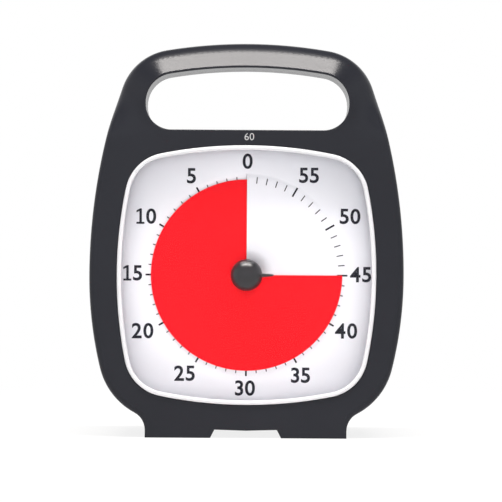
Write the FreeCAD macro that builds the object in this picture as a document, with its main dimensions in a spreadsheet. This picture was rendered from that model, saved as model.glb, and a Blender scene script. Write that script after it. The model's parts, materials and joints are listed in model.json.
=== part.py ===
"""Desk timer with a red disc that shows the time left, as a document of separate sub-parts.

Every sub-part is drawn with y as the depth behind the housing's front plane, x to the right and
z up, and is then placed with the whole part's box centred on the origin and standing on z = 0.
"""

import FreeCAD, Part

import math
import os

from FreeCAD import Placement, Rotation, Vector

doc = FreeCAD.newDocument("VisualTimer")

# Driving dimensions in millimetres
SIZES = {
    "housing_height": 177.8,
    "half_width": 70.6,
    "widest_height": 72.6,
    "top_radius": 220.0,
    "top_corner_radius": 25.6,
    "upper_side_radius": 267.0,
    "lower_side_radius": 174.0,
    "bottom_corner_radius": 31.0,
    "foot_radius": 8.7,
    "foot_half_width": 45.2,
    "foot_height": 3.2,
    "notch_half_width": 15.9,
    "notch_top_half_width": 14.0,
    "notch_height": 3.7,
    "notch_middle_height": 3.3,
    "wall": 2.2,
    "bezel_depth": 14.0,
    "base_depth": 50.0,
    "handle_depth": 19.0,
    "neck_depth": 23.0,
    "neck_height": 140.0,
    "rear_edge_height": 92.0,
    "front_round": 3.0,
    "rear_round": 4.0,
    "foot_corner": 1.0,
    "handle_bar": 11.8,
    "handle_lip": 0.6,
    "handle_slope": 35.0,
    "handle_round": 8.0,
    "hole_height": 27.9,
    "hole_half_width": 45.6,
    "hole_upper_radius": 13.0,
    "hole_lower_radius": 11.5,
    "dial_height": 73.05,
    "opening_half": 58.2,
    "opening_side_radius": 195.0,
    "opening_corner_radius": 20.0,
    "lens_gap": 0.1,
    "lens_proud": 0.7,
    "lens_thick": 1.5,
    "lens_rim": 3.0,
    "lens_flange": 1.2,
    "lens_hole_radius": 7.0,
    "dial_depth": 6.6,
    "dial_thick": 0.5,
    "dial_margin": 1.4,
    "dial_hole_radius": 5.8,
    "collar_radius": 43.6,
    "collar_wall": 1.0,
    "slit_pitch": 1.4,
    "disc_radius": 43.1,
    "disc_thick": 0.25,
    "disc_setting": 0.75,
    "hub_radius": 5.2,
    "hub_front": 4.2,
    "hub_back": 7.9,
    "arbor_radius": 2.0,
    "turning_gap": 0.05,
    "knob_proud": 7.0,
    "knob_radius": 6.4,
    "knob_shoulder": 3.4,
    "knob_base": 1.0,
    "knob_stem_radius": 4.5,
    "knob_stem_back": 3.4,
    "pointer_reach": 12.0,
    "pointer_root_half": 1.05,
    "pointer_tip_half": 0.5,
    "pointer_front": 4.0,
    "pointer_back": 1.6,
    "frame_front": 10.4,
    "frame_back": 12.2,
    "neck_radius": 4.0,
    "neck_front": 9.3,
    "nut_radius": 6.0,
    "frame_rim": 3.0,
    "case_half": 27.0,
    "case_split": 21.0,
    "case_back": 28.0,
    "case_wall": 1.4,
    "gear_module": 0.5,
    "arbor_teeth": 40,
    "pinion_teeth": 16,
    "reduction_teeth": 36,
    "first_gear_front": 15.0,
    "second_gear_front": 18.4,
    "gear_thick": 1.6,
    "magnet_radius": 3.0,
    "magnet_front": 21.4,
    "magnet_back": 25.0,
    "stator_front": 22.4,
    "stator_thick": 1.4,
    "coil_front": 20.0,
    "coil_back": 26.2,
    "clutch_height": 1.0,
    "shaft_radius": 0.6,
    "board_front": 30.0,
    "board_thick": 1.6,
    "cell_radius": 7.2,
    "cell_length": 49.2,
    "cell_height": 30.0,
    "cell_depth": 38.5,
    "door_half_width": 33.0,
    "door_bottom": 17.0,
    "door_top": 43.0,
    "door_thick": 3.0,
    "door_gap": 0.3,
    "door_lip": 1.5,
    "screw_head_radius": 2.6,
    "screw_head": 1.8,
    "screw_shank_radius": 1.3,
    "boss_radius": 4.4,
    "bezel_boss_radius": 2.6,
    "upper_boss_x": 55.0,
    "upper_boss_z": 128.5,
    "lower_boss_x": 55.0,
    "lower_boss_z": 20.0,
    "volume_x": 32.0,
    "volume_height": 68.0,
    "volume_radius": 10.0,
    "volume_depth": 4.0,
    "buzzer_radius": 12.0,
    "buzzer_thick": 5.0,
    "slot_width": 2.0,
    "slot_pitch": 4.4,
    "slot_half_length": 8.0,
}

sheet = doc.addObject("Spreadsheet::Sheet", "Sheet")
for row, (alias, value) in enumerate(SIZES.items(), start=1):
    sheet.set(f"A{row}", alias)
    sheet.set(f"B{row}", str(value))
    sheet.setAlias(f"B{row}", alias)
doc.recompute()

FRONT = "(Sheet.knob_proud - Sheet.base_depth) / 2"
SUBPARTS = []


def size(alias):
    """The value of one cell."""
    return getattr(sheet, alias)


def bind(obj, **expressions):
    """Bind properties of an object; a double underscore in a name stands for a dot."""
    for name, expression in expressions.items():
        obj.setExpression(name.replace("__", "."), expression)
    return obj


def subpart(obj, label):
    """Name a finished piece and place it behind the housing's front plane."""
    own = {path.lstrip("."): rule for path, rule in obj.ExpressionEngine}
    obj.Label = label
    bind(obj, Placement__Base__y=f"{FRONT} + ({own.get('Placement.Base.y', '0')})")
    SUBPARTS.append(obj)
    return obj


# Plane geometry, in x and z


def arc_about(centre, start, end):
    """The shorter arc about centre from start to end, each a pair of x and z."""
    start, end, middle = Vector(*start), Vector(*end), Vector(*centre)
    across = (start - middle) + (end - middle)
    crown = middle + across.normalize() * (start - middle).Length
    return Part.Arc(start, crown, end)


def line(start, end):
    return Part.LineSegment(Vector(*start), Vector(*end))


def toward(centre, other, radius):
    """The point at radius from centre on the ray towards other."""
    dx, dz = other[0] - centre[0], other[1] - centre[1]
    reach = radius / math.hypot(dx, dz)
    return centre[0] + dx * reach, centre[1] + dz * reach


def meeting(first, first_radius, second, second_radius, side):
    """Where two circles cross, on one side (1 or -1) of the line of their centres."""
    dx, dz = second[0] - first[0], second[1] - first[1]
    apart = math.hypot(dx, dz)
    along = (first_radius**2 - second_radius**2 + apart**2) / (2 * apart)
    off = side * math.sqrt(first_radius**2 - along**2)
    return (
        first[0] + (along * dx - off * dz) / apart,
        first[1] + (along * dz + off * dx) / apart,
    )


def mirrored(half):
    """A half outline with its mirror image in x = 0."""
    other = []
    for piece in half:
        twin = piece.copy()
        twin.mirror(Vector(), Vector(0, 1, 0))
        other.append(twin)
    return half + other


def housing_outline(inset=0.0):
    """The front silhouette with handle and feet, drawn in by inset, as a chain of tangent arcs."""
    top = (0, size("housing_height") - size("top_radius"))
    upper = (size("half_width") - size("upper_side_radius"), size("widest_height"))
    lower = (size("half_width") - size("lower_side_radius"), size("widest_height"))
    foot = (size("foot_half_width") + size("foot_radius"), size("foot_height"))
    corner = meeting(
        top,
        size("top_radius") - size("top_corner_radius"),
        upper,
        size("upper_side_radius") - size("top_corner_radius"),
        -1,
    )
    hip = meeting(
        lower,
        size("lower_side_radius") - size("bottom_corner_radius"),
        foot,
        size("bottom_corner_radius") + size("foot_radius"),
        1,
    )
    foot_side = size("foot_half_width") - inset
    crown = (0, size("housing_height") - inset)
    shoulder_in = toward(top, corner, size("top_radius") - inset)
    shoulder_out = toward(upper, corner, size("upper_side_radius") - inset)
    widest = (size("half_width") - inset, size("widest_height"))
    hip_out = toward(lower, hip, size("lower_side_radius") - inset)
    hip_in = toward(hip, foot, size("bottom_corner_radius") - inset)
    ankle = (foot_side, size("foot_height"))
    half = [
        arc_about(top, crown, shoulder_in),
        arc_about(corner, shoulder_in, shoulder_out),
        arc_about(upper, shoulder_out, widest),
        arc_about(lower, widest, hip_out),
        arc_about(hip, hip_out, hip_in),
        arc_about(foot, hip_in, ankle),
        line(ankle, (foot_side, inset)),
        line((foot_side, inset), (size("notch_half_width") + inset, inset)),
        line(
            (size("notch_half_width") + inset, inset),
            (size("notch_top_half_width") + inset, size("notch_height") + inset),
        ),
        line(
            (size("notch_top_half_width") + inset, size("notch_height") + inset),
            (0, size("notch_middle_height") + inset),
        ),
    ]
    return mirrored(half)


def handle_hole(outset=0.0):
    """The straight-walled hole under the handle, grown by outset."""
    half_width = size("hole_half_width") + outset
    edge = size("housing_height") - size("handle_bar")
    bottom, top = edge - size("hole_height") - outset, edge + outset
    upper = size("hole_upper_radius") + outset
    lower = size("hole_lower_radius") + outset
    bow = (0, size("housing_height") - size("top_radius"))
    bow_radius = top - bow[1]
    side = half_width - upper
    corner = (side, bow[1] + math.sqrt((bow_radius - upper) ** 2 - side**2))
    shoulder = toward(bow, corner, bow_radius)
    half = [
        arc_about(bow, (0, top), shoulder),
        arc_about(corner, shoulder, (half_width, corner[1])),
        line((half_width, corner[1]), (half_width, bottom + lower)),
        arc_about(
            (half_width - lower, bottom + lower),
            (half_width, bottom + lower),
            (half_width - lower, bottom),
        ),
        line((half_width - lower, bottom), (0, bottom)),
    ]
    return mirrored(half)


def squircle(half_size, corner_radius, height):
    """A square with bowed sides and round corners, centred on the dial."""
    bow = half_size - size("opening_side_radius")
    reach = size("opening_side_radius") - corner_radius
    # the corner's centre lies on the diagonal, at reach from the centre of each side's arc
    diagonal = (bow + math.sqrt(2 * reach**2 - bow**2)) / 2
    corner = (diagonal, diagonal)
    right_end = toward((bow, 0), corner, size("opening_side_radius"))
    top_end = toward((0, bow), corner, size("opening_side_radius"))
    pieces = []
    quarter = [
        arc_about((bow, 0), (half_size, 0), right_end),
        arc_about(corner, right_end, top_end),
        arc_about((0, bow), top_end, (0, half_size)),
    ]
    for turn in range(4):
        spin = Placement(Vector(0, height, 0), Rotation(Vector(0, 0, 1), 90 * turn))
        for piece in quarter:
            copy = piece.copy()
            copy.transform(spin.toMatrix())
            pieces.append(copy)
    return pieces


def opening(outset):
    """The lens opening grown by outset."""
    return squircle(
        size("opening_half") + outset,
        size("opening_corner_radius") + outset,
        size("dial_height"),
    )


def circle(x, z, radius):
    return [Part.Circle(Vector(x, z), Vector(0, 0, 1), radius)]


def polygon(points):
    return [line(a, b) for a, b in zip(points, points[1:] + points[:1])]


# Building blocks


def slab(name, pieces, front, back):
    """A drawing in x and z extruded from depth front to depth back, both expressions."""
    sketch = doc.addObject("Sketcher::SketchObject", name + "_sketch")
    sketch.addGeometry(pieces, False)
    sketch.Placement = Placement(Vector(), Rotation(Vector(1, 0, 0), 90))
    bind(sketch, Placement__Base__y=back)
    solid = doc.addObject("Part::Extrusion", name)
    solid.Base = sketch
    solid.DirMode = "Normal"
    solid.Solid = True
    return bind(solid, LengthFwd=f"({back}) - ({front})")


def side_slab(name, pieces):
    """A drawing in depth and height extruded across the whole width."""
    sketch = doc.addObject("Sketcher::SketchObject", name + "_sketch")
    sketch.addGeometry(pieces, False)
    sketch.Placement = Placement(Vector(), Rotation(Vector(1, 1, 1), 120))
    solid = doc.addObject("Part::Extrusion", name)
    solid.Base = sketch
    solid.DirMode = "Normal"
    solid.Solid = True
    solid.Symmetric = True
    return bind(solid, LengthFwd="2 * Sheet.half_width + 20")


def pin(name, x, z, radius, front, back):
    """A round piece along the depth, all sizes expressions."""
    solid = doc.addObject("Part::Cylinder", name)
    solid.Placement = Placement(Vector(), Rotation(Vector(1, 0, 0), 90))
    return bind(
        solid,
        Radius=radius,
        Height=f"({back}) - ({front})",
        Placement__Base__x=x,
        Placement__Base__y=back,
        Placement__Base__z=z,
    )


def block(name, left, right, front, back, bottom, top):
    """A box between three pairs of expressions."""
    solid = doc.addObject("Part::Box", name)
    return bind(
        solid,
        Length=f"({right}) - ({left})",
        Width=f"({back}) - ({front})",
        Height=f"({top}) - ({bottom})",
        Placement__Base__x=left,
        Placement__Base__y=front,
        Placement__Base__z=bottom,
    )


def cut(name, base, tool):
    solid = doc.addObject("Part::Cut", name)
    solid.Base = base
    solid.Tool = tool
    return solid


def join(name, base, tool):
    solid = doc.addObject("Part::Fuse", name)
    solid.Base = base
    solid.Tool = tool
    return solid


def fuse(name, *solids):
    solid = doc.addObject("Part::MultiFuse", name)
    solid.Shapes = list(solids)
    return solid


def common(name, first, second):
    solid = doc.addObject("Part::Common", name)
    solid.Base = first
    solid.Tool = second
    return solid


def rounded(name, base, radius, wanted):
    """Round the edges of base for which wanted(edge) holds."""
    doc.recompute()
    solid = doc.addObject("Part::Fillet", name)
    solid.Base = base
    edges = enumerate(base.Shape.Edges, start=1)
    solid.Edges = [(number, radius, radius) for number, edge in edges if wanted(edge)]
    return solid


def lies_at_depth(depth):
    """A test for edges that lie wholly at one depth."""
    near = 1e-4

    def test(edge):
        box = edge.BoundBox
        return abs(box.YMin - depth) < near and abs(box.YMax - depth) < near

    return test


def body_sketch(body, name, role, offset, pieces):
    """A sketch on one of the body's own planes, at an offset given as an expression."""
    plane = next(f for f in body.Origin.OriginFeatures if f.Role == role)
    sketch = body.newObject("Sketcher::SketchObject", name)
    sketch.AttachmentSupport = [(plane, "")]
    sketch.MapMode = "FlatFace"
    bind(sketch, AttachmentOffset__Base__z=offset)
    sketch.addGeometry(pieces, False)
    return sketch


def at_dial(obj):
    """Put a body that was drawn about its own axis on the dial's axis."""
    return bind(obj, Placement__Base__z="Sheet.dial_height")


BOSSES = [
    ("1", "-Sheet.upper_boss_x", "Sheet.upper_boss_z"),
    ("2", "Sheet.upper_boss_x", "Sheet.upper_boss_z"),
    ("3", "-Sheet.lower_boss_x", "Sheet.lower_boss_z"),
    ("4", "Sheet.lower_boss_x", "Sheet.lower_boss_z"),
]
BOSS_SEATS = {"1": "20", "2": "20", "3": "24", "4": "24"}


def handle_brow():
    """What is cut from the handle's front: it leans back from the hole, then rolls over the top."""
    lean = math.radians(size("handle_slope"))
    foot = size("top_radius") - size("handle_bar") + size("handle_lip")
    top, bend, deep = size("top_radius"), size("handle_round"), size("bezel_depth")
    # the roll's centre is one radius inside both the leaning face and the top
    centre = (top - bend, (bend + math.sin(lean) * (top - bend - foot)) / math.cos(lean))
    meet = (centre[0] + bend * math.sin(lean), centre[1] - bend * math.cos(lean))
    over = (top, centre[1])
    spare = 1.0
    outline = [
        line((0, 0), (foot, 0)),
        line((foot, 0), meet),
        arc_about(centre, meet, over),
        line(over, (top + spare, over[1])),
        line((top + spare, over[1]), (top + spare, deep)),
        line((top + spare, deep), (0, deep)),
        line((0, deep), (0, 0)),
    ]
    sketch = doc.addObject("Sketcher::SketchObject", "brow_section")
    sketch.addGeometry(outline, False)
    kept = doc.addObject("Part::Revolution", "brow_kept")
    kept.Source = sketch
    kept.Axis = Vector(0, 1, 0)
    kept.Angle = 360
    kept.Solid = True
    bind(kept, Placement__Base__z="Sheet.housing_height - Sheet.top_radius")
    bar = block("brow_bar", "-Sheet.half_width", "Sheet.half_width", "-1", "Sheet.bezel_depth",
                "Sheet.housing_height - Sheet.handle_bar - Sheet.hole_height / 2",
                "Sheet.housing_height + 1")
    return cut("brow", bar, kept)


def front_bezel():
    """Front half of the housing: frame round the lens, front of the handle and of the feet."""
    wall, back = "Sheet.wall", "Sheet.bezel_depth"
    outer = slab("bezel_block", housing_outline(), "0", back)
    ankle = size("foot_height") + 0.1

    def on_rim(edge):
        """Does the edge run along the front of the silhouette, above the feet?"""
        return lies_at_depth(0)(edge) and edge.BoundBox.ZMax > ankle + size("notch_height")

    soft = cut("bezel_soft", rounded("bezel_round", outer, size("front_round"), on_rim),
               handle_brow())
    cavity = slab("bezel_cavity", housing_outline(size("wall")), wall, back + " + 1")
    tunnel = slab("bezel_tunnel", handle_hole(size("wall")), "0", back + " + 2")
    bar = block("bezel_bar", "-Sheet.half_width", "Sheet.half_width", "0", back + " + 2",
                "Sheet.housing_height - Sheet.handle_bar - Sheet.hole_height / 2",
                "Sheet.housing_height + 5")
    hollow = cut("bezel_hollow", cut("bezel_hollow_low", cavity, tunnel), bar)
    shell = cut("bezel_shell", soft, hollow)
    bosses = [
        pin("bezel_boss_" + name, x, z, "Sheet.bezel_boss_radius", wall, back)
        for name, x, z in BOSSES
    ]
    pilots = [
        pin("bezel_pilot_" + name, x, z, "Sheet.screw_shank_radius + Sheet.turning_gap / 2",
            "5", back + " + 1")
        for name, x, z in BOSSES
    ]
    window = slab("bezel_window", opening(0), "-1", "Sheet.wall + 6")
    hole = slab("bezel_hole", handle_hole(), "-10", back + " + 2")
    joined = fuse("bezel_joined", shell, *bosses)
    openings = fuse("bezel_openings", window, hole, *pilots)
    return subpart(cut("front_bezel", joined, openings), "front_bezel")


def side_profile(inset):
    """The rear shell seen from the side: thin behind the handle, deep at the base."""
    deep = size("base_depth") - inset
    slope = math.atan2(
        size("base_depth") - size("neck_depth"), size("neck_height") - size("rear_edge_height")
    )
    shift = inset / math.cos(slope)
    neck = size("neck_depth") - inset
    neck_z = size("neck_height") - shift + inset * math.tan(slope)
    edge_z = size("rear_edge_height") - shift + inset * math.tan(slope)
    front, above, below = size("bezel_depth") - inset, size("housing_height") + 2, -2.0
    points = [
        (front, below),
        (deep, below),
        (deep, edge_z),
        (neck, neck_z),
        (size("handle_depth") - inset, above),
        (front, above),
    ]
    return polygon(points)


def rear_shell():
    """Rear half of the housing with the battery bay, screw wells, sound slots and dial recess."""
    front, base, wall = "Sheet.bezel_depth", "Sheet.base_depth", "Sheet.wall"
    outer = common(
        "rear_outer",
        slab("rear_block", housing_outline(), front, base + " + 1"),
        side_slab("rear_profile", side_profile(0)),
    )
    rear_edges = size("handle_depth") - 1.5
    soft = rounded("rear_soft", outer, size("rear_round"), lambda e: e.BoundBox.YMin > rear_edges
                   and (e.BoundBox.ZMin > 8 or abs(e.BoundBox.XMin) > 46 or e.BoundBox.XMax > 46))
    inner = common(
        "rear_inner",
        slab("rear_cavity", housing_outline(size("wall")), front + " - 1", base),
        side_slab("rear_inner_profile", side_profile(size("wall"))),
    )
    tunnel = slab("rear_tunnel", handle_hole(size("wall")), front + " - 2", base)
    hollow = cut("rear_hollow", inner, tunnel)
    shell = cut("rear_shell_open", soft, hollow)
    wells = [
        pin("well_" + name, x, z, "Sheet.boss_radius", front, base) for name, x, z in BOSSES
    ]
    well_limit = side_slab("well_limit", side_profile(size("wall") / 2))
    outline_limit = slab("well_outline", housing_outline(size("wall") / 2), "0", base)
    inside_wells = common(
        "inside_wells", common("limited_wells", fuse("wells", *wells), well_limit), outline_limit
    )
    well_bores = [
        pin("well_bore_" + name, x, z, "Sheet.screw_head_radius + 0.3",
            BOSS_SEATS[name] + " - Sheet.screw_head", base + " + 1")
        for name, x, z in BOSSES
    ]
    shank_bores = [
        pin("shank_bore_" + name, x, z, "Sheet.screw_shank_radius + 0.2", front + " - 1", base)
        for name, x, z in BOSSES
    ]
    hole = slab("rear_hole", handle_hole(), "0", base + " + 1")
    bay = block(
        "bay_block", "-Sheet.cell_length / 2 - 5", "Sheet.cell_length / 2 + 5",
        "Sheet.cell_depth - Sheet.cell_radius - 2.5", base + " - 1",
        "Sheet.cell_height - Sheet.cell_radius - 2", "Sheet.cell_height + Sheet.cell_radius + 2",
    )
    bay_room = block(
        "bay_room", "-Sheet.cell_length / 2 - 3.4", "Sheet.cell_length / 2 + 3.4",
        "Sheet.cell_depth - Sheet.cell_radius - 0.8", base + " + 1",
        "Sheet.cell_height - Sheet.cell_radius - 0.6",
        "Sheet.cell_height + Sheet.cell_radius + 0.6",
    )
    door_seat = block(
        "door_seat", "-Sheet.door_half_width - Sheet.door_gap",
        "Sheet.door_half_width + Sheet.door_gap", base + " - Sheet.door_thick - 0.2",
        base + " + 1", "Sheet.door_bottom - Sheet.door_gap", "Sheet.door_top + Sheet.door_gap",
    )
    door_ledge = block(
        "door_ledge", "-Sheet.door_half_width - 2", "Sheet.door_half_width + 2",
        base + " - Sheet.door_thick - 2", base + " - 0.5",
        "Sheet.door_bottom - 2", "Sheet.door_top + 2",
    )
    door_boss = pin("door_boss", "0", "Sheet.door_top - 3.4", "3", "36",
                    base + " - Sheet.door_thick - 0.2")
    door_bore = pin("door_bore", "0", "Sheet.door_top - 3.4", "Sheet.screw_shank_radius + 0.05",
                    "38", base + " + 1")
    dial_cup = pin("dial_cup", "Sheet.volume_x", "Sheet.volume_height",
                   "Sheet.volume_radius + 2.2", base + " - Sheet.volume_depth - 2",
                   base + " - 0.5")
    dial_room = pin("dial_room", "Sheet.volume_x", "Sheet.volume_height",
                    "Sheet.volume_radius + 0.6", base + " - Sheet.volume_depth - 0.4",
                    base + " + 1")
    dial_bore = pin("dial_bore", "Sheet.volume_x", "Sheet.volume_height", "3.4",
                    base + " - Sheet.volume_depth - 3", base + " + 1")
    slots = []
    for step in range(-2, 3):
        centre = f"Sheet.volume_height + {step} * Sheet.slot_pitch"
        slots.append(
            block(
                f"slot_{step + 3}", "-Sheet.volume_x - Sheet.slot_half_length",
                "-Sheet.volume_x + Sheet.slot_half_length", base + " - Sheet.wall - 1",
                base + " + 1", centre + " - Sheet.slot_width / 2",
                centre + " + Sheet.slot_width / 2",
            )
        )
    joined = fuse("rear_joined", shell, inside_wells, bay, door_ledge, door_boss, dial_cup)
    openings = fuse(
        "rear_openings", *well_bores, *shank_bores, hole, bay_room, door_seat, door_bore,
        dial_room, dial_bore, *slots,
    )
    return subpart(cut("rear_shell", joined, openings), "rear_shell")


def lens():
    """Clear tray with a rounded rim, a flange behind the bezel and a hole for the knob."""
    outside = opening(-size("lens_gap"))
    back = "Sheet.dial_depth - Sheet.dial_thick / 2 - 0.05"
    body = slab("lens_body", outside, "-Sheet.lens_proud", back)
    soft = rounded("lens_soft", body, 1.2, lies_at_depth(-size("lens_proud")))
    flange = slab("lens_flange_ring", opening(size("lens_flange")), "Sheet.wall + 0.1",
                  "Sheet.wall + 1.3")
    dish = slab("lens_dish", opening(-size("lens_gap") - size("lens_rim")),
                "-Sheet.lens_proud - 1", "0")
    room = slab("lens_room", opening(-size("lens_gap") - size("lens_thick")),
                "Sheet.lens_thick", back + " + 1")
    hole = pin("lens_hole", "0", "Sheet.dial_height", "Sheet.lens_hole_radius", "-3", "5")
    joined = fuse("lens_joined", soft, flange)
    cuts = fuse("lens_cuts", dish, room, hole)
    return subpart(cut("lens", joined, cuts), "lens")


def helical_plate(body, name, inner, outer, thick, depth):
    """One turn of a shallow helical plate about the body's own y axis, starting at the top."""
    half = thick / 2
    section = [(inner, -half), (outer, -half), (outer, half), (inner, half)]
    sketch = body_sketch(body, name + "_section", "XY_Plane", "0", polygon(section))
    sketch.AttachmentOffset = Placement(Vector(0, 0, 0), Rotation())
    turn = body.newObject("PartDesign::AdditiveHelix", name)
    turn.Profile = sketch
    turn.ReferenceAxis = (sketch, ["V_Axis"])
    turn.Mode = 0
    return bind(turn, Pitch="Sheet.slit_pitch", Height="Sheet.slit_pitch", Turns="1")


def top_start(obj, depth, share=0.0):
    """Turn a helical plate so that it starts at the top, turned back by share of a full turn."""
    obj.Placement = Placement(Vector(), Rotation(Vector(0, 1, 0), -90 + 360 * share))
    bind(obj, Placement__Base__y=depth, Placement__Base__z="Sheet.dial_height")
    return obj


def dial_plate():
    """White dial: a flat plate whose round middle is one turn of a shallow helix, cut at 0."""
    thick = "Sheet.dial_thick"
    front, back = f"Sheet.dial_depth - {thick} / 2", f"Sheet.dial_depth + {thick} / 2"
    plate = slab("dial_flat", opening(size("dial_margin")), front, back)
    collar_front = f"Sheet.dial_depth - Sheet.slit_pitch / 2 - {thick} / 2"
    collar_back = f"Sheet.dial_depth + Sheet.slit_pitch / 2 + {thick} / 2"
    collar = pin("dial_collar", "0", "Sheet.dial_height", "Sheet.collar_radius + Sheet.collar_wall",
                 collar_front, collar_back)
    bore = pin("dial_bore_round", "0", "Sheet.dial_height", "Sheet.collar_radius", "0", "20")
    ring = cut("dial_ring", fuse("dial_flat_collar", plate, collar), bore)
    body = doc.addObject("PartDesign::Body", "dial_middle")
    helical_plate(body, "dial_turn", size("dial_hole_radius"),
                  size("collar_radius") + size("collar_wall") / 2, size("dial_thick"), "0")
    top_start(body, "Sheet.dial_depth - Sheet.slit_pitch / 2")
    return subpart(join("dial_plate", ring, body), "dial_plate")


def red_disc():
    """Red disc: one turn of the dial's own helix, so that it screws through the slit."""
    body = doc.addObject("PartDesign::Body", "red_disc")
    helical_plate(body, "disc_turn", size("hub_radius"), size("disc_radius"),
                  size("disc_thick"), "0")
    SUBPARTS.append(body)
    depth = f"{FRONT} + Sheet.dial_depth - Sheet.disc_setting * Sheet.slit_pitch"
    return top_start(body, depth, -size("disc_setting"))


def disc_hub():
    """Hub that carries the disc and slides on the arbor."""
    hub = pin("hub_round", "0", "Sheet.dial_height", "Sheet.hub_radius", "Sheet.hub_front",
              "Sheet.hub_back")
    bore = pin("hub_bore", "0", "Sheet.dial_height", "Sheet.arbor_radius + Sheet.turning_gap",
               "0", "20")
    return subpart(cut("disc_hub", hub, bore), "disc_hub")


def knob():
    """Domed knob on a stem, with a tapered pointer."""
    body = doc.addObject("PartDesign::Body", "knob")
    tip, shoulder = -size("knob_proud"), -size("knob_shoulder")
    rise = shoulder - tip
    radius = size("knob_radius")
    crown_radius = (radius**2 + rise**2) / (2 * rise)
    base, stem = -size("knob_base"), size("knob_stem_radius")
    stem_back, bore = size("knob_stem_back"), size("arbor_radius")
    bore_front = base - 2.0
    profile = [
        arc_about((0, tip + crown_radius), (0, tip), (radius, shoulder)),
        line((radius, shoulder), (radius, base)),
        line((radius, base), (stem, base)),
        line((stem, base), (stem, stem_back)),
        line((stem, stem_back), (bore, stem_back)),
        line((bore, stem_back), (bore, bore_front)),
        line((bore, bore_front), (0, bore_front)),
        line((0, bore_front), (0, tip)),
    ]
    sketch = body_sketch(body, "knob_profile", "XY_Plane", "0", profile)
    turn = body.newObject("PartDesign::Revolution", "knob_turn")
    turn.Profile = sketch
    turn.ReferenceAxis = (sketch, ["V_Axis"])
    turn.Angle = 360
    reach, root, point = size("pointer_reach"), size("pointer_root_half"), size("pointer_tip_half")
    start = size("knob_radius") - 1.5
    outline = [
        line((start, -root), (reach - point, -point)),
        arc_about((reach - point, 0), (reach - point, -point), (reach, 0)),
        arc_about((reach - point, 0), (reach, 0), (reach - point, point)),
        line((reach - point, point), (start, root)),
        line((start, root), (start, -root)),
    ]
    arm = body_sketch(body, "pointer_outline", "XZ_Plane", "Sheet.pointer_back", outline)
    pad = body.newObject("PartDesign::Pad", "pointer")
    pad.Profile = arm
    bind(pad, Length="Sheet.pointer_front - Sheet.pointer_back")
    return subpart(at_dial(body), "knob")


def inner_frame():
    """Tray behind the dial that holds the dial's border and carries the movement."""
    border = "Sheet.dial_depth + Sheet.dial_thick / 2 + 0.05"
    back = "Sheet.frame_back"
    body = slab("frame_body", opening(size("dial_margin")), border, back)
    room = slab("frame_room", opening(-size("frame_rim")), "0", "Sheet.frame_front")
    bore = pin("frame_bore", "0", "Sheet.dial_height", "Sheet.neck_radius + 0.1", "0",
               back + " + 1")
    return subpart(cut("inner_frame", body, fuse("frame_cuts", room, bore)), "inner_frame")


def gear_outline(teeth, phase, x, z):
    """Straight-flanked tooth outline about (x, z), with a tooth centred at phase degrees."""
    module = size("gear_module")
    pitch = module * teeth / 2
    angle = 360 / teeth
    root, tip = pitch - 1.1 * module, pitch + 0.8 * module
    shares = [(-0.32, root), (-0.10, tip), (0.10, tip), (0.32, root)]
    points = []
    for tooth in range(teeth):
        for share, radius in shares:
            turn = math.radians(phase + (tooth + share) * angle)
            points.append((x + radius * math.cos(turn), z + radius * math.sin(turn)))
    return polygon(points)


FIRST_GAP = size("gear_module") * (size("arbor_teeth") + size("pinion_teeth")) / 2
SECOND_GAP = size("gear_module") * (size("reduction_teeth") + size("pinion_teeth")) / 2
REDUCTION_X = "Sheet.gear_module * (Sheet.arbor_teeth + Sheet.pinion_teeth) / 2"
ROTOR_Z = (
    "Sheet.dial_height - Sheet.gear_module * (Sheet.reduction_teeth + Sheet.pinion_teeth) / 2"
)


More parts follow.
